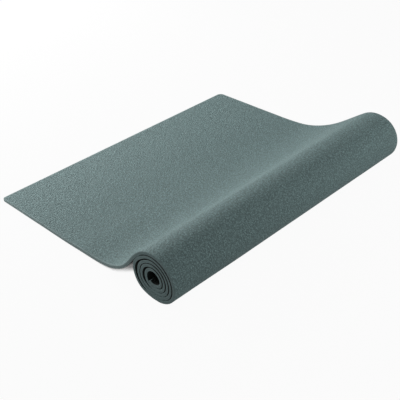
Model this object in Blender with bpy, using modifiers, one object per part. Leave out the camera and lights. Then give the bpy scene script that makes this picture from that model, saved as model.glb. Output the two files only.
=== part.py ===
"""Yoga mat, partly rolled up: a foam mat with a woven mesh inside, on a floor.

X runs along the mat from its free edge to the roll, Y across its width, Z up.
The origin is at the centre of the outline, on the floor. The mat is one long
sheet of three bonded layers. Its wound end is the roll. The free part is cut
into strips across the mat, each hinged to the next in the plane of the mesh,
so that the free part can be wrapped round the roll or lifted off the floor.
"""
import math

import bpy
import bmesh
import numpy as np

MM = 0.001

# The sheet and its three layers
MAT_WIDTH = 610 * MM
FOAM_THICKNESS = 2.5 * MM
SCRIM_THICKNESS = 0.4 * MM
BOND_GAP = 0.3 * MM
MAT_THICKNESS = 2 * FOAM_THICKNESS + SCRIM_THICKNESS + 2 * BOND_GAP
CORNER_RADIUS = 12 * MM
CORNER_SEGMENTS = 6

# The roll, wound from the inside out
CORE_RADIUS = 10 * MM
TURN_GAP = 1.0 * MM
TURN_PITCH = MAT_THICKNESS + TURN_GAP
ROLL_TURNS = 4.65
SEGMENTS_PER_TURN = 40
LEAST_SEGMENT_SHARE = 0.25
FOOT_DEPTH = 0.55 * MM
LEAVE_ANGLE = math.radians(42)
HEADING_STEP = math.radians(0.01)

# The outer turn stands off the turns inside it on the side of the free part
LOOSE_GAP = 1.5 * MM
LOOSE_ANGLE = math.radians(285)
LOOSE_START_TURNS = 1.2
LOOSE_FULL_TURNS = 1.7

# The free part: flat on the floor, then a rise to the top of the roll
FLAT_LENGTH = 185 * MM
RISE_RUN = 251 * MM
RISE_FLOOR_HANDLE = 144 * MM
RISE_ROLL_HANDLE = 69.5 * MM
RISE_SAMPLES = 240

# The hinged strips that the free part is divided into
STRIP_COUNT = 18
STRIP_SEGMENTS = 4
TOP_RELIEF = 0.4 * MM
SCRIM_RELIEF = 0.15 * MM
BOTTOM_RELIEF = 1.1 * MM

# Each layer: middle distance from the mesh plane, thickness, relief at a hinge
FOAM_OFFSET = (SCRIM_THICKNESS + FOAM_THICKNESS) / 2 + BOND_GAP
LAYERS = {
    "top_foam": (FOAM_OFFSET, FOAM_THICKNESS, TOP_RELIEF),
    "mesh_scrim": (0.0, SCRIM_THICKNESS, SCRIM_RELIEF),
    "bottom_foam": (-FOAM_OFFSET, FOAM_THICKNESS, BOTTOM_RELIEF),
}
COLOURS = {
    "top_foam": (0.155, 0.22, 0.215, 1.0),
    "mesh_scrim": (0.62, 0.60, 0.55, 1.0),
    "bottom_foam": (0.085, 0.125, 0.12, 1.0),
}
ROUGHNESS = {"top_foam": 0.55, "mesh_scrim": 0.9, "bottom_foam": 0.75}


def smooth_step(value, start, end):
    """0 before start, 1 after end, and a smooth change between them."""
    share = np.clip((value - start) / (end - start), 0.0, 1.0)
    return share * share * (3 - 2 * share)


def roll_radius(angle):
    """Radius of the mesh plane, where angle grows from the roll's top inwards."""
    end = 2 * math.pi * ROLL_TURNS
    outer = CORE_RADIUS + MAT_THICKNESS / 2 + TURN_PITCH * ROLL_TURNS
    turns = angle / (2 * math.pi)
    grown = smooth_step(turns, LOOSE_START_TURNS, LOOSE_FULL_TURNS)
    left = np.clip((end - angle) / (end - 2 * math.pi * LOOSE_FULL_TURNS), 0.0, 1.0)
    side = np.clip(np.cos(angle - LOOSE_ANGLE), 0.0, None) ** 2
    return outer - TURN_PITCH * turns - LOOSE_GAP * grown * left * side


def roll_height():
    """Height of the roll's middle, with its foot pressed flat on the floor."""
    return float(roll_radius(math.pi)) + MAT_THICKNESS / 2 - FOOT_DEPTH


def roll_points(angle):
    """Points of the mesh plane in the roll, as x and z from the free edge."""
    radius = roll_radius(angle)
    x = FLAT_LENGTH + RISE_RUN + radius * np.sin(angle)
    z = roll_height() + radius * np.cos(angle)
    return np.stack([x, np.maximum(z, MAT_THICKNESS / 2)], axis=1)


def roll_path():
    """The mesh plane of the roll, from where the free part leaves it inwards."""
    end = 2 * math.pi * ROLL_TURNS
    step = 2 * math.pi / SEGMENTS_PER_TURN
    first = math.ceil(-LEAVE_ANGLE / step + LEAST_SEGMENT_SHARE)
    last = math.floor(end / step - LEAST_SEGMENT_SHARE)
    inside = step * np.arange(first, last + 1)
    return roll_points(np.concatenate([[-LEAVE_ANGLE], inside, [end]]))


def free_path():
    """The mesh plane of the free part, from the roll to the free edge."""
    near = roll_points(np.array([-LEAVE_ANGLE, -LEAVE_ANGLE + HEADING_STEP]))
    heading = (near[0] - near[1]) / np.linalg.norm(near[0] - near[1])
    floor = np.array([FLAT_LENGTH, MAT_THICKNESS / 2])
    handles = [
        near[0],
        near[0] + RISE_ROLL_HANDLE * heading,
        floor + np.array([RISE_FLOOR_HANDLE, 0.0]),
        floor,
    ]
    share = np.linspace(0.0, 1.0, RISE_SAMPLES)[:, None]
    back = 1 - share
    weights = (back**3, 3 * back * back * share, 3 * back * share * share, share**3)
    rise = sum(weight * handle for weight, handle in zip(weights, handles))
    return np.vstack([rise, [[0.0, MAT_THICKNESS / 2]]])


def path_lengths(path):
    """Length along the path at each of its points."""
    steps = np.linalg.norm(np.diff(path, axis=0), axis=1)
    return np.concatenate([[0.0], np.cumsum(steps)])


def path_normals(path):
    """Unit normals of the path, on the side of the mat's top face."""
    steps = np.diff(path, axis=0)
    steps /= np.linalg.norm(steps, axis=1)[:, None]
    joined = np.vstack([steps[:1], steps[:-1] + steps[1:], steps[-1:]])
    joined /= np.linalg.norm(joined, axis=1)[:, None]
    return np.stack([-joined[:, 1], joined[:, 0]], axis=1)


def free_points(lengths, offset):
    """Points of the free part at these lengths, offset towards the top face."""
    path = free_path()
    along = path_lengths(path)
    normals = -path_normals(path)
    spot = [np.interp(lengths, along, path[:, axis]) for axis in (0, 1)]
    side = [np.interp(lengths, along, normals[:, axis]) for axis in (0, 1)]
    return np.stack(spot, axis=1) + offset * np.stack(side, axis=1)


def hinge_lengths():
    """Length from the roll to each hinge, and last to the free edge."""
    whole = path_lengths(free_path())[-1]
    return whole * np.arange(STRIP_COUNT + 1) / STRIP_COUNT


def centre_shift():
    """Distance from the free edge to the middle of the whole outline."""
    path = roll_path()
    outer = path + MAT_THICKNESS / 2 * path_normals(path)
    return float(outer[:, 0].max()) / 2


def make_material(layer):
    """The plain finish of one layer."""
    material = bpy.data.materials.new(layer)
    material.use_nodes = True
    shader = material.node_tree.nodes["Principled BSDF"]
    shader.inputs["Base Color"].default_value = COLOURS[layer]
    shader.inputs["Roughness"].default_value = ROUGHNESS[layer]
    shader.inputs["Metallic"].default_value = 0.0
    material.diffuse_color = COLOURS[layer]
    return material


def sheet_object(name, points, origin, thickness, material, collection):
    """One layer: its middle line drawn across the mat's width, then thickened."""
    mesh = bpy.data.meshes.new(name)
    surface = bmesh.new()
    line = []
    for x, z in points:
        line.append(surface.verts.new((x - origin[0], -MAT_WIDTH / 2, z - origin[1])))
    edges = [surface.edges.new(pair) for pair in zip(line[:-1], line[1:])]
    drawn = bmesh.ops.extrude_edge_only(surface, edges=edges)
    moved = [item for item in drawn["geom"] if isinstance(item, bmesh.types.BMVert)]
    bmesh.ops.translate(surface, verts=moved, vec=(0.0, MAT_WIDTH, 0.0))
    bmesh.ops.recalc_face_normals(surface, faces=surface.faces)
    surface.to_mesh(mesh)
    surface.free()
    part = bpy.data.objects.new(name, mesh)
    part.location = (origin[0], 0.0, origin[1])
    part.data.materials.append(material)
    collection.objects.link(part)
    shell = part.modifiers.new("thickness", "SOLIDIFY")
    shell.thickness = thickness
    shell.offset = 0.0
    shell.use_even_offset = True
    return part


def round_corners(part):
    """Rounds the two corners of the mat's free edge in plan."""
    surface = bmesh.new()
    surface.from_mesh(part.data)
    edge_x = min(vertex.co.x for vertex in surface.verts)
    corners = [
        vertex
        for vertex in surface.verts
        if vertex.co.x < edge_x + CORNER_RADIUS / CORNER_SEGMENTS
    ]
    bmesh.ops.bevel(
        surface,
        geom=corners,
        offset=CORNER_RADIUS,
        offset_type="OFFSET",
        segments=CORNER_SEGMENTS,
        profile=0.5,
        affect="VERTICES",
    )
    surface.to_mesh(part.data)
    surface.free()


def make_roll(collection, materials):
    """The wound end of the mat: one spiral for each layer."""
    path = roll_path()
    path[:, 0] -= centre_shift()
    normals = path_normals(path)
    origin = (FLAT_LENGTH + RISE_RUN - centre_shift(), roll_height())
    for layer, (offset, thickness, relief) in LAYERS.items():
        points = path + offset * normals
        heading = points[1] - points[0]
        points[0] += relief * heading / np.linalg.norm(heading)
        sheet_object(
            f"{layer}_roll", points, origin, thickness, materials[layer], collection
        )


def make_strips(collection, materials):
    """The free part: strips hinged to each other, each of three layers."""
    hinges = hinge_lengths()
    shift = np.array([centre_shift(), 0.0])
    for index in range(STRIP_COUNT):
        origin = free_points(hinges[index : index + 1], 0.0)[0] - shift
        last = index == STRIP_COUNT - 1
        for layer, (offset, thickness, relief) in LAYERS.items():
            start = hinges[index] + relief
            end = hinges[index + 1] - (0.0 if last else relief)
            flat = free_points(hinges[index : index + 1], 0.0)[0, 0] <= FLAT_LENGTH
            count = 2 if flat else STRIP_SEGMENTS + 1
            points = free_points(np.linspace(start, end, count), offset) - shift
            part = sheet_object(
                f"{layer}_strip_{index + 1:02d}",
                points,
                origin,
                thickness,
                materials[layer],
                collection,
            )
            if last:
                round_corners(part)


def least_turn_gap():
    """Least gap between neighbouring turns of the roll, measured on its points."""
    path = roll_path()
    normals = path_normals(path)
    outer = path + MAT_THICKNESS / 2 * normals
    inner = path - MAT_THICKNESS / 2 * normals
    least = math.inf
    half_turn = SEGMENTS_PER_TURN // 2
    for index in range(len(path) - half_turn - 1):
        later = outer[index + half_turn :]
        starts, steps = later[:-1], np.diff(later, axis=0)
        share = np.sum((inner[index] - starts) * steps, axis=1)
        share = np.clip(share / np.sum(steps * steps, axis=1), 0.0, 1.0)
        nearest = starts + share[:, None] * steps
        least = min(least, np.linalg.norm(nearest - inner[index], axis=1).min())
    return least


def main():
    """Clears the scene and builds the mat."""
    for item in list(bpy.data.objects):
        bpy.data.objects.remove(item, do_unlink=True)
    collection = bpy.data.collections.new("yoga_mat")
    bpy.context.scene.collection.children.link(collection)
    materials = {layer: make_material(layer) for layer in LAYERS}
    make_roll(collection, materials)
    make_strips(collection, materials)
    print(f"Least gap between turns of the roll: {least_turn_gap() / MM:.2f} mm")


main()
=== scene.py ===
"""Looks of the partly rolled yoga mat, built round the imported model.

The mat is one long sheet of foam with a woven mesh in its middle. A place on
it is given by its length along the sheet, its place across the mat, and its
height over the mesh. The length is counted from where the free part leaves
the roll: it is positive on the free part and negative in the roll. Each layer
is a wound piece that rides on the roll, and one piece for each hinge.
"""
import math

import bpy
import numpy as np
from mathutils import Matrix, Vector


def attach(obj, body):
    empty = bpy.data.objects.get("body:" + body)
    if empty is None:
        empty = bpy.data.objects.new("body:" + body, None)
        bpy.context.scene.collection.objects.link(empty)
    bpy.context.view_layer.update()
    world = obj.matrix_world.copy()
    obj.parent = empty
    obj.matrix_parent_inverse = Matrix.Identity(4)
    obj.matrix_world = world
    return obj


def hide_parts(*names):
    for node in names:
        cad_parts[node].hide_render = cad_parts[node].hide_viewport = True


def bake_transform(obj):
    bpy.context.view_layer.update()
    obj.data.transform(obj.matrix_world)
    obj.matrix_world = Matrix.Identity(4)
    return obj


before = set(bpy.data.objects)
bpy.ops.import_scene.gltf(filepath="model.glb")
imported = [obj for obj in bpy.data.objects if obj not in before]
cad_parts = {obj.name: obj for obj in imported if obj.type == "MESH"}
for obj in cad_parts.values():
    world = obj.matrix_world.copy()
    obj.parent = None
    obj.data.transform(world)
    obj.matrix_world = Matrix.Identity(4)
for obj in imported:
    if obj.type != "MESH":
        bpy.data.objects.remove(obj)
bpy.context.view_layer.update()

MM = 0.001

# The sheet, as in the CAD
MAT_WIDTH = 610 * MM
MAT_THICKNESS = 6 * MM
SCRIM_THICKNESS = 0.4 * MM
CORNER_RADIUS = 12 * MM

# The roll, as in the CAD
CORE_RADIUS = 10 * MM
TURN_PITCH = 7 * MM
ROLL_TURNS = 4.65
FOOT_DEPTH = 0.55 * MM
LEAVE_ANGLE = math.radians(42)
LOOSE_GAP = 1.5 * MM
LOOSE_ANGLE = math.radians(285)
LOOSE_START_TURNS = 1.2
LOOSE_FULL_TURNS = 1.7

# How the turns settle. Each row is an angle from the roll's top inwards and
# half the reach of the change, in degrees, and how far the turn moves out there.
TURN_SHIFTS = (
    (226, 34, 2.6 * MM),
    (266, 58, 6.2 * MM),
    (596, 46, 2.4 * MM),
    (636, 60, 3.6 * MM),
    (956, 50, 2.4 * MM),
    (1000, 62, 3.0 * MM),
)

# The same for the roll's near end alone, where its foot is pressed up a little,
# and how far in from that end this reaches
NEAR_END_SHIFTS = (
    (168, 62, -2.8 * MM),
    (528, 66, -2.3 * MM),
    (888, 66, -1.9 * MM),
    (1248, 66, -1.6 * MM),
    (1600, 66, -2.2 * MM),
)
NEAR_END_REACH = 170 * MM

# How the rise differs at the two sides of the mat. Each row is a height over
# the CAD's surface, the length along the sheet where it is greatest, and its
# reach towards the roll and towards the free edge.
NEAR_SIDE_SHIFT = (-10.4 * MM, 80 * MM, 72 * MM, 108 * MM)
FAR_SIDE_SHIFT = (8.5 * MM, 66 * MM, 112 * MM, 115 * MM)

# The free part, as in the CAD
FLAT_LENGTH = 185 * MM
RISE_RUN = 251 * MM
RISE_FLOOR_HANDLE = 144 * MM
RISE_ROLL_HANDLE = 69.5 * MM
STRIP_COUNT = 18

# How finely the sheet is drawn
WOUND_SAMPLES = 4000
RISE_SAMPLES = 600
SMALL_ANGLE = 1e-4
PATH_STEP = 0.5 * MM
ROW_STEP = 2.0 * MM
SEAM_STEP = 0.15 * MM
STATION_COUNT = 61
ROUND_STEPS = 4
CORNER_STEPS = 8
ROW_DECIMALS = 7
SHARP_ANGLE = math.radians(35)

# Edges of the foam
EDGE_RADIUS = 0.9 * MM
SCRIM_RECESS = 0.3 * MM
NEAR_CORNER_RADIUS = 6 * MM

# Heights between which a side edge is painted dark where it lies against the next
# turn: painted shade in the gap. It is wider high on the roll, and nothing at its
# foot, where the turns are pressed together. Angles are in degrees.
GAP_SHADE_FROM = 2.15 * MM
GAP_SHADE_FULL = 2.75 * MM
OUTSIDE_ANGLES = (352, 366)
INSIDE_ANGLES = (6, 26)
FOOT_ANGLE = 178
FOOT_REACH = 74
GAP_SHADE_TOP_ANGLE = 50
GAP_SHADE_TOP_REACH = 75
GAP_SHADE_TOP_GAIN = 0.45

# How far the painted shade inside the roll reaches round the sheet's inner end,
# and the angle over which the wall of the hole fades into painted shade
INNER_END_REACH = 9 * MM
INNER_END_SIDE = 5 * MM
HOLE_FADE_ANGLE = 8

# Slow unevenness of the foam's face, in waves of these lengths, each turned and
# shifted from the one before, and of its side edges
DENT_DEPTH = 0.12 * MM
DENT_LENGTHS = (61 * MM, 97 * MM, 173 * MM)
DENT_FIRST_TURN = 0.7
DENT_TURN = 1.9
DENT_PHASE = 2.3
EDGE_SWAY = 0.3 * MM
EDGE_SWAY_LENGTHS = (83 * MM, 211 * MM)
EDGE_SWAY_PHASE = 1.3

# The camera, as the photograph was taken
FOCAL_PIXELS = 748.0
PHOTO_PIXELS = 400
SENSOR_WIDTH = 36.0
CAMERA_PLACE = (894.4 * MM, -872.2 * MM, 778.7 * MM)
CAMERA_AZIMUTH = math.radians(46.08)
CAMERA_ELEVATION = math.radians(33.36)
CAMERA_ROLL = math.radians(-2.58)

# Light. Each lamp has its place, its aim, its size in metres and its watts.
WHITE = (1.0, 1.0, 1.0, 1.0)
WORLD_STRENGTH = 0.28
LAMPS = (
    ("key_lamp", (-1.25, 0.3, 0.55), (0.0, 0.0, 0.0), 0.7, 13.0),
    ("front_lamp", (-0.95, -0.6, 0.38), (0.0, -0.2, 0.0), 0.5, 6.8),
    ("side_lamp", (0.9, 0.5, 0.4), (0.2, 0.1, 0.0), 0.5, 2.6),
)

# The floor is nearly white, but for the shade under the arch of the free part,
# where the mat is close over it. The shade ends at ARCH_END along x, and where x
# and the distance across the mat's middle come to ARCH_SHADE_END together.
FLOOR_SIZE = 12.0
FLOOR_WHITE_SHARE = 0.95
CONTACT_SAMPLES = 16
CONTACT_REACH = 60 * MM
CONTACT_DARK = 0.19
CONTACT_CLEAR = 0.3
ARCH_END = 170 * MM
ARCH_FADE = 30 * MM
ARCH_SHADE_END = 370 * MM
ARCH_SHADE_FADE = 25 * MM
FLOOR_ALBEDO = 0.5
# Painted shade: the floor's colour darkens where it is most occluded under the arch
NOTCH_SHADE_ALBEDO = 0.05
NOTCH_DARK = 0.1
NOTCH_CLEAR = 0.33

# Finishes, and the colours of painted light and shade
TOP_COLOUR = (0.204, 0.303, 0.303)
# The cut's colour on the free part, made lighter: painted light
CUT_LIT_COLOUR = (0.225, 0.297, 0.297)
# The cut's colour in the roll, made darker: painted shade
ROLL_CUT_SHADE_COLOUR = (0.144, 0.205, 0.206)
# Near-black underside, a guessed colour that also stands in for shade in the hole and between the
# turns
UNDERSIDE_AND_SHADE_COLOUR = (0.014, 0.019, 0.018)
# Painted shade in the hole
HOLE_SHADE_COLOUR = (0.003, 0.006, 0.005)
# Painted shade in the gaps between the turns
GAP_SHADE_COLOUR = (0.01, 0.015, 0.014)
SCRIM_COLOUR = (0.16, 0.20, 0.195)
FOAM_ROUGHNESS = 0.72
FOAM_SPECULAR = 0.22
SCRIM_ROUGHNESS = 0.85
SCRIM_SHADE = 0.6
WEAVE_SIZE = 6 * MM

# Grain of the foam: pebbles with a fine noise, on a slower mottle
GRAIN_SIZE = 2.3 * MM
GRAIN_DEPTH = 0.75 * MM
MOTTLE_SIZE = 3.4 * MM
MOTTLE_DETAIL = 3.0
MOTTLE_ROUGHNESS = 0.75
MOTTLE_SHARE = 2.4
PEBBLE_SMOOTHNESS = 0.35
PEBBLE_SHARES = (0.85, 0.1)
FINE_RATIO = 2.5
FINE_DETAIL = 2.0
FINE_SHARE = 0.4
TONE_SHARES = (0.38, 0.62)
SKIN_SHADES = (0.68, 1.34)
# How much darker the skin is between the pebbles
PIT_TONE = 0.56
CUT_SHADES = (0.94, 1.04)
CUT_GRAIN_SHARE = 0.2

# A smoother border along the mat's edges
BORDER_WIDTH = 4.5 * MM
BORDER_CUT_SHARE = 0.5
BORDER_BUMP_LOSS = 0.6

# Lengths along the sheet between which the cut edge turns from the roll's darker
# colour, painted shade, to the free part's lighter one, painted light
ROLL_CUT_END = 10 * MM
FREE_CUT_START = 90 * MM


def smooth_step(value, start, end):
    """0 before start, 1 after end, and a smooth change between them."""
    share = np.clip((value - start) / (end - start), 0.0, 1.0)
    return share * share * (3 - 2 * share)


def roll_radius(angle):
    """Radius of the mesh plane, where angle grows from the roll's top inwards."""
    end = 2 * math.pi * ROLL_TURNS
    outer = CORE_RADIUS + MAT_THICKNESS / 2 + TURN_PITCH * ROLL_TURNS
    turns = angle / (2 * math.pi)
    grown = smooth_step(turns, LOOSE_START_TURNS, LOOSE_FULL_TURNS)
    left = np.clip((end - angle) / (end - 2 * math.pi * LOOSE_FULL_TURNS), 0.0, 1.0)
    side = np.clip(np.cos(angle - LOOSE_ANGLE), 0.0, None) ** 2
    return outer - TURN_PITCH * turns - LOOSE_GAP * grown * left * side


def roll_height():
    """Height of the roll's middle, with its foot pressed flat on the floor."""
    return float(roll_radius(math.pi)) + MAT_THICKNESS / 2 - FOOT_DEPTH


def roll_points(angle):
    """Points of the mesh plane in the roll, as x and z from the free edge."""
    radius = roll_radius(angle)
    x = FLAT_LENGTH + RISE_RUN + radius * np.sin(angle)
    z = roll_height() + radius * np.cos(angle)
    return np.stack([x, np.maximum(z, MAT_THICKNESS / 2)], axis=1)


def free_points():
    """The mesh plane of the free part, from the free edge to the roll."""
    near = roll_points(np.array([-LEAVE_ANGLE, -LEAVE_ANGLE + SMALL_ANGLE]))
    heading = (near[0] - near[1]) / np.linalg.norm(near[0] - near[1])
    floor = np.array([FLAT_LENGTH, MAT_THICKNESS / 2])
    handles = [
        floor,
        floor + np.array([RISE_FLOOR_HANDLE, 0.0]),
        near[0] + RISE_ROLL_HANDLE * heading,
        near[0],
    ]
    share = np.linspace(0.0, 1.0, RISE_SAMPLES)[:, None]
    back = 1 - share
    weights = (back**3, 3 * back * back * share, 3 * back * share * share, share**3)
    rise = sum(weight * handle for weight, handle in zip(weights, handles))
    return np.vstack([[[0.0, MAT_THICKNESS / 2]], rise])


def lengths_along(path):
    """Length along the path at each of its points."""
    steps = np.linalg.norm(np.diff(path, axis=0), axis=1)
    return np.concatenate([[0.0], np.cumsum(steps)])


def hump(value, middle, before, after):
    """1 at the middle, 0 from these reaches on either side, and smooth between."""
    reach = np.where(value < middle, before, after)
    share = np.clip((value - middle) / reach, -1.0, 1.0)
    return (1 - share * share) ** 2


class Sheet:
    """The mesh plane of the whole mat, which gives the place of any point of it."""

    def __init__(self):
        free = free_points()
        angles = np.linspace(-LEAVE_ANGLE, 2 * math.pi * ROLL_TURNS, WOUND_SAMPLES)
        path = np.vstack([free, roll_points(angles)[1:]])
        whole = lengths_along(path)
        even = np.append(np.arange(0.0, whole[-1], PATH_STEP), whole[-1])
        self.free_length = lengths_along(free)[-1]
        self.wound_length = whole[-1] - self.free_length
        self.strip_length = self.free_length / STRIP_COUNT
        self.along = even - self.free_length
        self.points = np.stack([np.interp(even, whole, path[:, k]) for k in (0, 1)], axis=1)
        self.points[:, 0] -= (self.points[:, 0].max() + MAT_THICKNESS / 2) / 2
        steps = np.gradient(self.points, axis=0)
        steps /= np.linalg.norm(steps, axis=1)[:, None]
        self.normals = np.stack([-steps[:, 1], steps[:, 0]], axis=1)
        self.degrees = np.degrees(np.interp(even, whole[len(free) - 1:], angles))
        self.settled = self.turn_shift(TURN_SHIFTS)
        self.near_settled = self.turn_shift(NEAR_END_SHIFTS)

    def turn_shift(self, rows):
        """How far these rows move the mesh plane outwards, along the whole sheet."""
        return sum(
            shift * hump(self.degrees, middle, reach, reach) for middle, reach, shift in rows
        )

    def gap_shade(self, along, height):
        """How far a face takes painted shade against the next turn, and how far it is pressed to
        it.
        """
        angle = np.interp(-along, self.along, self.degrees)
        leave = math.degrees(LEAVE_ANGLE)
        outside, inside = (
            smooth_step(angle, start - leave, end - leave)
            for start, end in (OUTSIDE_ANGLES, INSIDE_ANGLES)
        )
        inside = inside * (1 - self.innermost(along))
        covered = np.where(height > 0, outside, inside)
        turned = angle % 360
        pressed = covered * hump(turned, FOOT_ANGLE, FOOT_REACH, FOOT_REACH)
        wider_top = hump(turned, GAP_SHADE_TOP_ANGLE, GAP_SHADE_TOP_REACH, GAP_SHADE_TOP_REACH)
        return covered * (1 - pressed) * (1 + GAP_SHADE_TOP_GAIN * wider_top), pressed

    def inner_end_shade(self, along, across):
        """1 at the sheet's inner end, away from the sides, where it is painted as shade in the
        hole, and 0 elsewhere.
        """
        near_end = smooth_step(-along, self.wound_length - INNER_END_REACH, self.wound_length - MM)
        return near_end * smooth_step(MAT_WIDTH / 2 - np.abs(across), MM, INNER_END_SIDE)

    def innermost(self, along):
        """1 in the last turn, which is the wall of the hole, and 0 elsewhere."""
        angle = np.interp(-along, self.along, self.degrees)
        last_turn = 360 * (ROLL_TURNS - 1)
        return smooth_step(angle, last_turn - HOLE_FADE_ANGLE, last_turn + HOLE_FADE_ANGLE)

    def middle(self, along, across):
        """x and z of the mesh plane at this length, and this place across the mat."""
        near, far = (
            shift * hump(along, middle, before, after)
            for shift, middle, before, after in (NEAR_SIDE_SHIFT, FAR_SIDE_SHIFT)
        )
        share = across / MAT_WIDTH + 0.5
        place = [-along, self.along]
        near_end = smooth_step(-across, MAT_WIDTH / 2 - NEAR_END_REACH, MAT_WIDTH / 2)
        shift = np.interp(*place, self.settled)
        shift = shift + near_end * np.interp(*place, self.near_settled)
        shift = shift + (1 - share) * near + share * far
        x = np.interp(*place, self.points[:, 0]) + shift * np.interp(*place, self.normals[:, 0])
        z = np.interp(*place, self.points[:, 1]) + shift * np.interp(*place, self.normals[:, 1])
        return x, z

    def place(self, along, across, height):
        """x and z at this height over the mesh plane."""
        x, z = self.middle(along, across)
        free_x, free_z = self.middle(along + PATH_STEP, across)
        roll_x, roll_z = self.middle(along - PATH_STEP, across)
        run, rise = roll_x - free_x, roll_z - free_z
        step = np.hypot(run, rise)
        return x - height * rise / step, z + height * run / step


def rows_between(start, end, round_end):
    """Lengths at which the sheet is drawn, with a close row next to each seam."""
    count = max(2, math.ceil((end - start - 2 * SEAM_STEP) / ROW_STEP) + 1)
    inner = np.linspace(start + SEAM_STEP, end - SEAM_STEP, count)
    rows = np.concatenate([[start], inner, [end]])
    if not round_end:
        return rows
    turn = np.linspace(0.0, math.pi / 2, CORNER_STEPS + 1)
    corner = end - CORNER_RADIUS * (1 - np.sin(turn))
    close = end - EDGE_RADIUS * (1 - np.sin(turn[1:]))
    rows = rows[rows < end - CORNER_RADIUS]
    return np.unique(np.round(np.concatenate([rows, corner, close]), ROW_DECIMALS))


def edge_sway(along):
    """A slow wave between -1 and 1 along the mat's side edges."""
    waves = [
        np.sin(2 * math.pi * along / length + EDGE_SWAY_PHASE * (k + 1))
        for k, length in enumerate(EDGE_SWAY_LENGTHS)
    ]
    return sum(waves) / len(waves)


def dent(along, across):
    """Slow unevenness of the foam's face, between -1 and 1."""
    total = 0.0
    for k, length in enumerate(DENT_LENGTHS):
        angle = DENT_FIRST_TURN + DENT_TURN * k
        place = along * math.cos(angle) + across * math.sin(angle)
        total = total + np.sin(2 * math.pi * place / length + DENT_PHASE * k)
    return total / len(DENT_LENGTHS)


def edge_drop(gap, radius):
    """How far a rounded edge falls back at this distance from its end."""
    inside = np.clip(radius - gap, 0.0, radius)
    return radius - np.sqrt(np.clip(radius * radius - inside * inside, 0.0, None))


def section(layer):
    """Outline of a layer's cross-section: place across as a share, side inset, height."""
    half = MAT_THICKNESS / 2
    scrim = SCRIM_THICKNESS / 2
    shares = np.linspace(-1.0, 1.0, STATION_COUNT)
    face = {"top_foam": half, "mesh_scrim": scrim, "bottom_foam": -half}[layer]
    back = {"top_foam": scrim, "mesh_scrim": -scrim, "bottom_foam": -scrim}[layer]
    if layer == "mesh_scrim":
        front = [(share, SCRIM_RECESS, face) for share in shares]
        rear = [(share, SCRIM_RECESS, back) for share in shares[::-1]]
        return np.array(front + rear), STATION_COUNT
    sign = 1.0 if face > back else -1.0
    turns = np.linspace(0.0, math.pi / 2, ROUND_STEPS + 1)
    left = []
    for turn in turns:
        inset = EDGE_RADIUS * (1 - math.cos(turn))
        left.append((-1.0, inset, face - sign * EDGE_RADIUS * (1 - math.sin(turn))))
    right = [(1.0, inset, height) for _, inset, height in left[::-1]]
    front = left + [(share, EDGE_RADIUS, face) for share in shares[1:-1]] + right
    rear_shares = np.linspace(1.0, -1.0, len(front))
    rear = [(share, 0.0, back) for share in rear_shares]
    return np.array(front + rear), len(front)


def grid_faces(row_count, ring, front_count):
    """Faces of a ring drawn along rows, with both ends closed by quads."""
    faces = []
    for row in range(row_count - 1):
        for k in range(ring):
            following = (k + 1) % ring
            a, b = row * ring + k, row * ring + following
            faces.append((a, b, b + ring, a + ring))
    last = (row_count - 1) * ring
    for k in range(front_count - 1):
        a, b = k, k + 1
        c, d = ring - 2 - k, ring - 1 - k
        faces.append((b, a, d, c))
        faces.append((last + a, last + b, last + c, last + d))
    return faces


def layer_places(sheet, layer, ring, rows, round_end):
    """Length along, place across and height of each point of one layer's rings."""
    free_edge = sheet.free_length - rows
    half_width = MAT_WIDTH / 2 + EDGE_SWAY * (edge_sway(rows) - 1) / 2
    half_width = np.repeat(half_width[:, None], len(ring), axis=1)
    if round_end:
        near_drop = edge_drop(free_edge, NEAR_CORNER_RADIUS)[:, None]
        far_drop = edge_drop(free_edge, CORNER_RADIUS)[:, None]
        half_width = half_width - np.where(ring[None, :, 0] < 0, near_drop, far_drop)
    along = np.repeat(rows[:, None], len(ring), axis=1)
    across = ring[None, :, 0] * (half_width - ring[None, :, 1])
    height = np.repeat(ring[None, :, 2], len(rows), axis=0)
    on_face = np.abs(height) > MAT_THICKNESS / 2 - EDGE_RADIUS
    depth = DENT_DEPTH * (1 + dent(along, across)) / 2
    if layer == "top_foam":
        height = height - on_face * depth
    if round_end:
        drop = edge_drop(free_edge, EDGE_RADIUS)[:, None]
        height = np.where(on_face, height - np.sign(height) * drop, height)
    return along, across, height


def layer_mesh(name, sheet, layer, start, end, round_end=False):
    """One layer of the sheet between two lengths, as a closed mesh object."""
    ring, front_count = section(layer)
    rows = rows_between(start, end, round_end)
    along, across, height = layer_places(sheet, layer, ring, rows, round_end)
    x, z = sheet.place(along, across, height)
    points = np.stack([x, across, z], axis=2).reshape(-1, 3)
    mesh = bpy.data.meshes.new(name)
    mesh.from_pydata(points.tolist(), [], grid_faces(len(rows), len(ring), front_count))
    write_attributes(mesh, sheet, along, across, height)
    mesh.update()
    if mesh_volume(mesh) < 0:
        mesh.flip_normals()
    mesh.shade_smooth()
    mesh.set_sharp_from_angle(angle=SHARP_ANGLE)
    piece = bpy.data.objects.new(name, mesh)
    bpy.context.scene.collection.objects.link(piece)
    return piece


def write_attributes(mesh, sheet, along, across, height):
    """Each point's place on the sheet, and the shares of painted shade that its colour depends on.
    """
    place = mesh.attributes.new("sheet_place", "FLOAT_VECTOR", "POINT")
    values = np.stack([across, along, height], axis=2).reshape(-1)
    place.data.foreach_set("vector", values.astype(np.float32))
    gap_shade, pressed = sheet.gap_shade(along, height)
    shares = {
        "gap_shade": gap_shade,
        "pressed": pressed,
        "inner_end_shade": sheet.inner_end_shade(along, across),
        "innermost": sheet.innermost(along),
    }
    for key, share in shares.items():
        values = mesh.attributes.new(key, "FLOAT", "POINT")
        values.data.foreach_set("value", share.reshape(-1).astype(np.float32))


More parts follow.
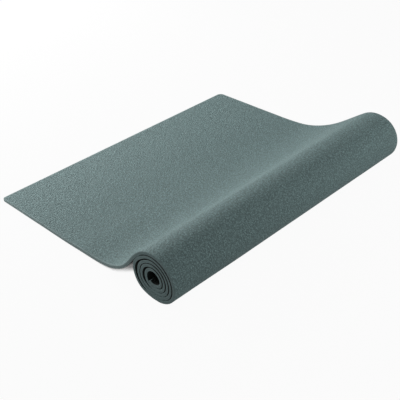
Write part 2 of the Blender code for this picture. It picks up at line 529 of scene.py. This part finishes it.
def mesh_volume(mesh):
    """Volume inside the mesh, negative if its faces point inwards."""
    mesh.calc_loop_triangles()
    points = np.empty(len(mesh.vertices) * 3)
    mesh.vertices.foreach_get("co", points)
    points = points.reshape(-1, 3)
    corners = np.empty(len(mesh.loop_triangles) * 3, dtype=np.int32)
    mesh.loop_triangles.foreach_get("vertices", corners)
    a, b, c = (points[corners.reshape(-1, 3)[:, k]] for k in range(3))
    return np.einsum("ij,ij->i", a, np.cross(b, c)).sum() / 6


def node(tree, kind, **settings):
    """Adds a shader node and sets its properties and unlinked inputs."""
    made = tree.nodes.new(kind)
    for key, value in settings.items():
        if hasattr(made, key):
            setattr(made, key, value)
        else:
            made.inputs[key].default_value = value
    return made


def map_range(tree, value, low, high):
    """0 where the value is low, 1 where it is high, and smooth between."""
    made = node(tree, "ShaderNodeMapRange", interpolation_type="SMOOTHSTEP")
    made.inputs["From Min"].default_value = low
    made.inputs["From Max"].default_value = high
    tree.links.new(value, made.inputs["Value"])
    return made.outputs["Result"]


def math_node(tree, operation, *values):
    """A calculation on sockets and plain numbers."""
    made = node(tree, "ShaderNodeMath", operation=operation)
    for socket, value in zip(made.inputs, values):
        if isinstance(value, float):
            socket.default_value = value
        else:
            tree.links.new(value, socket)
    return made.outputs["Value"]


def mixed_colour(tree, share, first, second):
    """The first colour where the share is 0, the second where it is 1."""
    made = node(tree, "ShaderNodeMix", data_type="RGBA")
    sockets = {socket.identifier: socket for socket in made.inputs}
    tree.links.new(share, sockets["Factor_Float"])
    for socket, colour in ((sockets["A_Color"], first), (sockets["B_Color"], second)):
        if isinstance(colour, tuple):
            socket.default_value = (*colour, 1.0)
        else:
            tree.links.new(colour, socket)
    return next(socket for socket in made.outputs if socket.identifier == "Result_Color")


def shaded(colour, factor):
    """A lighter or darker tone of the colour."""
    return tuple(factor * part for part in colour)


def point_share(tree, key):
    """One of the shares that the mesh keeps at its points."""
    return node(tree, "ShaderNodeAttribute", attribute_name=key).outputs["Fac"]


def foam_textures(tree, place):
    """Pebbles, a fine noise and a slower mottle, all placed on the sheet."""
    cells = node(tree, "ShaderNodeTexVoronoi", feature="SMOOTH_F1")
    cells.inputs["Scale"].default_value = 1 / GRAIN_SIZE
    cells.inputs["Smoothness"].default_value = PEBBLE_SMOOTHNESS
    fine = node(tree, "ShaderNodeTexNoise")
    fine.inputs["Scale"].default_value = FINE_RATIO / GRAIN_SIZE
    fine.inputs["Detail"].default_value = FINE_DETAIL
    mottle = node(tree, "ShaderNodeTexNoise")
    mottle.inputs["Scale"].default_value = 1 / MOTTLE_SIZE
    mottle.inputs["Detail"].default_value = MOTTLE_DETAIL
    mottle.inputs["Roughness"].default_value = MOTTLE_ROUGHNESS
    for texture in (cells, fine, mottle):
        tree.links.new(place, texture.inputs["Vector"])
    pebble = map_range(tree, cells.outputs["Distance"], *PEBBLE_SHARES)
    return pebble, fine.outputs["Fac"], mottle.outputs["Fac"]


def foam_border(tree, across, along, free_length):
    """1 along the mat's side edges and its free edge, 0 away from them."""
    ends = ((math_node(tree, "ABSOLUTE", across), MAT_WIDTH / 2), (along, free_length))
    border = [
        map_range(tree, value, end - BORDER_WIDTH, end - BORDER_WIDTH / 3)
        for value, end in ends
    ]
    return math_node(tree, "MAXIMUM", *border)


def foam_bump(tree, textures, skin, border):
    """Normals of the grain, which is flatter on the cut and along the border."""
    pebble, fine, mottle = textures
    grain = math_node(tree, "MULTIPLY_ADD", fine, FINE_SHARE, pebble)
    mottled = math_node(tree, "MULTIPLY_ADD", mottle, MOTTLE_SHARE, grain)
    strength = math_node(tree, "MULTIPLY_ADD", border, -BORDER_BUMP_LOSS, 1.0)
    kept = math_node(tree, "MULTIPLY_ADD", skin, 1 - CUT_GRAIN_SHARE, CUT_GRAIN_SHARE)
    bump = node(tree, "ShaderNodeBump")
    bump.inputs["Distance"].default_value = GRAIN_DEPTH
    tree.links.new(strength, bump.inputs["Strength"])
    tree.links.new(math_node(tree, "MULTIPLY", mottled, kept), bump.inputs["Height"])
    return bump.outputs["Normal"]


def foam_top_colour(tree, textures, along, skin, border):
    """The mottled skin with darker pits between its pebbles, and the plainer cut, painted darker
    in the roll and lighter on the free part.
    """
    pebble, _, mottle = textures
    tone = map_range(tree, mottle, *TONE_SHARES)
    skin_colour = mixed_colour(tree, tone, *[shaded(TOP_COLOUR, shade) for shade in SKIN_SHADES])
    # Darker between the pebbles
    pitted = mixed_colour(tree, pebble, shaded(TOP_COLOUR, PIT_TONE), skin_colour)
    # Painted light and shade: the cut edge is darker in the roll and lighter on the free part
    free = map_range(tree, along, ROLL_CUT_END, FREE_CUT_START)
    cuts = [
        mixed_colour(tree, tone, *[shaded(colour, shade) for shade in CUT_SHADES])
        for colour in (ROLL_CUT_SHADE_COLOUR, CUT_LIT_COLOUR)
    ]
    cut = mixed_colour(tree, free, *cuts)
    cut_share = math_node(tree, "MULTIPLY", border, BORDER_CUT_SHARE)
    return mixed_colour(tree, skin, cut, mixed_colour(tree, cut_share, pitted, cut))


def foam_colour(tree, top, height, face_height):
    """The top's colour, with the near-black underside, and painted shade in the hole and in the
    gaps between the turns.
    """
    # The underside's near black is kept off faces pressed together at the foot and laid over the
    # inner end: partly painted shade
    pressed = point_share(tree, "pressed")
    under = map_range(tree, height, -face_height + EDGE_RADIUS / 2, -face_height)
    shown = math_node(tree, "MULTIPLY", under, math_node(tree, "SUBTRACT", 1.0, pressed))
    shown = math_node(tree, "MAXIMUM", shown, point_share(tree, "inner_end_shade"))
    # Painted shade: the wall of the hole is painted near black
    innermost = point_share(tree, "innermost")
    underside_and_shade = mixed_colour(tree, innermost, UNDERSIDE_AND_SHADE_COLOUR, HOLE_SHADE_COLOUR)
    open_colour = mixed_colour(tree, shown, top, underside_and_shade)
    size = math_node(tree, "ABSOLUTE", height)
    # Painted shade: the side edges go dark where they lie against the next turn
    depth = math_node(tree, "MULTIPLY", size, point_share(tree, "gap_shade"))
    deep = map_range(tree, depth, GAP_SHADE_FROM, GAP_SHADE_FULL)
    return mixed_colour(tree, deep, open_colour, GAP_SHADE_COLOUR)


def foam_material(name, face_height, free_length):
    """Pebbled foam skin with smooth cut edges, placed on the sheet itself."""
    material = bpy.data.materials.new(name)
    material.use_nodes = True
    tree = material.node_tree
    shader = tree.nodes["Principled BSDF"]
    shader.inputs["Roughness"].default_value = FOAM_ROUGHNESS
    shader.inputs["Specular IOR Level"].default_value = FOAM_SPECULAR
    place = node(tree, "ShaderNodeAttribute", attribute_name="sheet_place").outputs["Vector"]
    parts = node(tree, "ShaderNodeSeparateXYZ")
    tree.links.new(place, parts.inputs["Vector"])
    across, along, height = (parts.outputs[key] for key in "XYZ")
    size = math_node(tree, "ABSOLUTE", height)
    skin = map_range(tree, size, face_height - EDGE_RADIUS, face_height - EDGE_RADIUS / 3)
    border = foam_border(tree, across, along, free_length)
    textures = foam_textures(tree, place)
    top = foam_top_colour(tree, textures, along, skin, border)
    base = foam_colour(tree, top, height, face_height)
    tree.links.new(foam_bump(tree, textures, skin, border), shader.inputs["Normal"])
    tree.links.new(base, shader.inputs["Base Color"])
    return material


def scrim_material():
    """Woven polyester threads, seen only at the cut edges, with painted shade at the sheet's inner
    end.
    """
    material = bpy.data.materials.new("mesh_scrim_woven")
    material.use_nodes = True
    tree = material.node_tree
    shader = tree.nodes["Principled BSDF"]
    shader.inputs["Roughness"].default_value = SCRIM_ROUGHNESS
    place = node(tree, "ShaderNodeAttribute", attribute_name="sheet_place")
    weave = node(tree, "ShaderNodeTexWave", wave_type="BANDS", bands_direction="Y")
    weave.inputs["Scale"].default_value = 1 / WEAVE_SIZE
    tree.links.new(place.outputs["Vector"], weave.inputs["Vector"])
    shades = node(tree, "ShaderNodeValToRGB")
    shades.color_ramp.elements[0].color = (*shaded(SCRIM_COLOUR, SCRIM_SHADE), 1.0)
    shades.color_ramp.elements[1].color = (*SCRIM_COLOUR, 1.0)
    tree.links.new(weave.outputs["Fac"], shades.inputs["Fac"])
    # Painted shade: the mesh goes near black at the sheet's inner end, in the hole
    inner_end_shade = point_share(tree, "inner_end_shade")
    colour = mixed_colour(tree, inner_end_shade, shades.outputs["Color"], HOLE_SHADE_COLOUR)
    tree.links.new(colour, shader.inputs["Base Color"])
    return material


def make_mat(sheet):
    """The three layers: a wound piece each, and one piece for each hinge."""
    materials = {
        "top_foam": foam_material("top_foam_grained", MAT_THICKNESS / 2, sheet.free_length),
        "mesh_scrim": scrim_material(),
        "bottom_foam": foam_material("bottom_foam_grained", MAT_THICKNESS / 2, sheet.free_length),
    }
    strip = sheet.strip_length
    for layer, material in materials.items():
        wound = layer_mesh(f"{layer}_wound", sheet, layer, -sheet.wound_length, -strip / 2)
        finish_piece(wound, material, f"{layer}_roll")
        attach(wound, "roll")
        for number in range(1, STRIP_COUNT + 1):
            last = number == STRIP_COUNT
            start, seam_end = (number - 1.5) * strip, (number - 0.5) * strip
            end = sheet.free_length if last else seam_end
            piece = layer_mesh(f"{layer}_bend_{number:02d}", sheet, layer, start, end, last)
            finish_piece(piece, material, f"{layer}_strip_{number:02d}")
            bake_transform(piece)


def finish_piece(piece, material, cad_node):
    """Material of one piece, with the CAD part that it stands for hidden."""
    piece.data.materials.append(material)
    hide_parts(cad_node)


def make_camera():
    """The camera at the photograph's place and angle."""
    data = bpy.data.cameras.new("photo_camera")
    data.sensor_width = SENSOR_WIDTH
    data.lens = FOCAL_PIXELS / PHOTO_PIXELS * SENSOR_WIDTH
    camera = bpy.data.objects.new("photo_camera", data)
    sin_a, cos_a = math.sin(CAMERA_AZIMUTH), math.cos(CAMERA_AZIMUTH)
    sin_e, cos_e = math.sin(CAMERA_ELEVATION), math.cos(CAMERA_ELEVATION)
    forward = np.array([-sin_a * cos_e, cos_a * cos_e, -sin_e])
    level = np.array([cos_a, sin_a, 0.0])
    upright = np.cross(level, forward)
    right = level * math.cos(CAMERA_ROLL) + upright * math.sin(CAMERA_ROLL)
    up = -level * math.sin(CAMERA_ROLL) + upright * math.cos(CAMERA_ROLL)
    turn = Matrix(np.stack([right, up, -forward], axis=1).tolist()).to_4x4()
    camera.matrix_world = Matrix.Translation(CAMERA_PLACE) @ turn
    bpy.context.scene.collection.objects.link(camera)
    bpy.context.scene.camera = camera


def camera_white(tree, lit, share):
    """The lit shader, with this share of plain white where the camera sees it."""
    path = node(tree, "ShaderNodeLightPath")
    rays = [path.outputs[f"Is {kind} Ray"] for kind in ("Camera", "Glossy", "Transmission")]
    mirrored = math_node(tree, "MAXIMUM", rays[1], rays[2])
    seen = math_node(tree, "MAXIMUM", rays[0], mirrored)
    mix = node(tree, "ShaderNodeMixShader")
    tree.links.new(math_node(tree, "MULTIPLY", seen, share), mix.inputs[0])
    tree.links.new(lit.outputs[0], mix.inputs[1])
    return mix


def floor_clear(tree, openness):
    """0 where the mat is close over the floor under its arch, 1 elsewhere."""
    parts = node(tree, "ShaderNodeSeparateXYZ")
    place = node(tree, "ShaderNodeNewGeometry").outputs["Position"]
    tree.links.new(place, parts.inputs["Vector"])
    x, y = parts.outputs["X"], parts.outputs["Y"]
    beyond = map_range(tree, x, ARCH_END, ARCH_END + ARCH_FADE)
    outwards = math_node(tree, "ADD", x, math_node(tree, "ABSOLUTE", y))
    outside = map_range(tree, outwards, ARCH_SHADE_END, ARCH_SHADE_END + ARCH_SHADE_FADE)
    clear = map_range(tree, openness, CONTACT_DARK, CONTACT_CLEAR)
    return math_node(tree, "MAXIMUM", math_node(tree, "MAXIMUM", clear, beyond), outside)


def floor_material():
    """Nearly white to the camera, with the mat's shadow and the shade in the notch."""
    material = bpy.data.materials.new("floor_white")
    material.use_nodes = True
    tree = material.node_tree
    tree.nodes.clear()
    output = node(tree, "ShaderNodeOutputMaterial")
    lit = node(tree, "ShaderNodeBsdfDiffuse")
    white = node(tree, "ShaderNodeEmission")
    near = node(
        tree, "ShaderNodeAmbientOcclusion", samples=CONTACT_SAMPLES, Distance=CONTACT_REACH
    )
    openness = near.outputs["AO"]
    # Painted shade: the floor's colour darkens where it is most occluded under the arch
    notch = map_range(tree, openness, NOTCH_DARK, NOTCH_CLEAR)
    colour = mixed_colour(tree, notch, (NOTCH_SHADE_ALBEDO,) * 3, (FLOOR_ALBEDO,) * 3)
    tree.links.new(colour, lit.inputs["Color"])
    clear = math_node(tree, "MULTIPLY", floor_clear(tree, openness), FLOOR_WHITE_SHARE)
    mix = camera_white(tree, lit, clear)
    tree.links.new(white.outputs[0], mix.inputs[2])
    tree.links.new(mix.outputs[0], output.inputs["Surface"])
    return material


def make_floor():
    """The floor's plane, which is no part of the object."""
    mesh = bpy.data.meshes.new("floor")
    half = FLOOR_SIZE / 2
    corners = [(-half, -half, 0), (half, -half, 0), (half, half, 0), (-half, half, 0)]
    mesh.from_pydata(corners, [], [(0, 1, 2, 3)])
    mesh.materials.append(floor_material())
    floor = bpy.data.objects.new("floor", mesh)
    bpy.context.scene.collection.objects.link(floor)


def make_world():
    """Soft even light from all round, seen as plain white."""
    world = bpy.data.worlds.new("studio")
    bpy.context.scene.world = world
    world.use_nodes = True
    tree = world.node_tree
    tree.nodes.clear()
    output = node(tree, "ShaderNodeOutputWorld")
    lit = node(tree, "ShaderNodeBackground", Color=WHITE)
    lit.inputs["Strength"].default_value = WORLD_STRENGTH
    white = node(tree, "ShaderNodeBackground", Color=WHITE)
    mix = camera_white(tree, lit, 1.0)
    tree.links.new(white.outputs[0], mix.inputs[2])
    tree.links.new(mix.outputs[0], output.inputs["Surface"])


def make_lamp(name, place, aim, size, watts):
    """A soft square lamp that looks at its aim."""
    data = bpy.data.lights.new(name, "AREA")
    data.shape = "SQUARE"
    data.size = size
    data.energy = watts
    lamp = bpy.data.objects.new(name, data)
    backward = Vector(place) - Vector(aim)
    turn = backward.to_track_quat("Z", "Y").to_matrix().to_4x4()
    lamp.matrix_world = Matrix.Translation(place) @ turn
    bpy.context.scene.collection.objects.link(lamp)


def main():
    """The camera, the mat, and the studio round it."""
    make_camera()
    make_mat(Sheet())
    make_floor()
    make_world()
    for lamp in LAMPS:
        make_lamp(*lamp)
    bpy.context.scene.view_settings.view_transform = "Standard"


main()
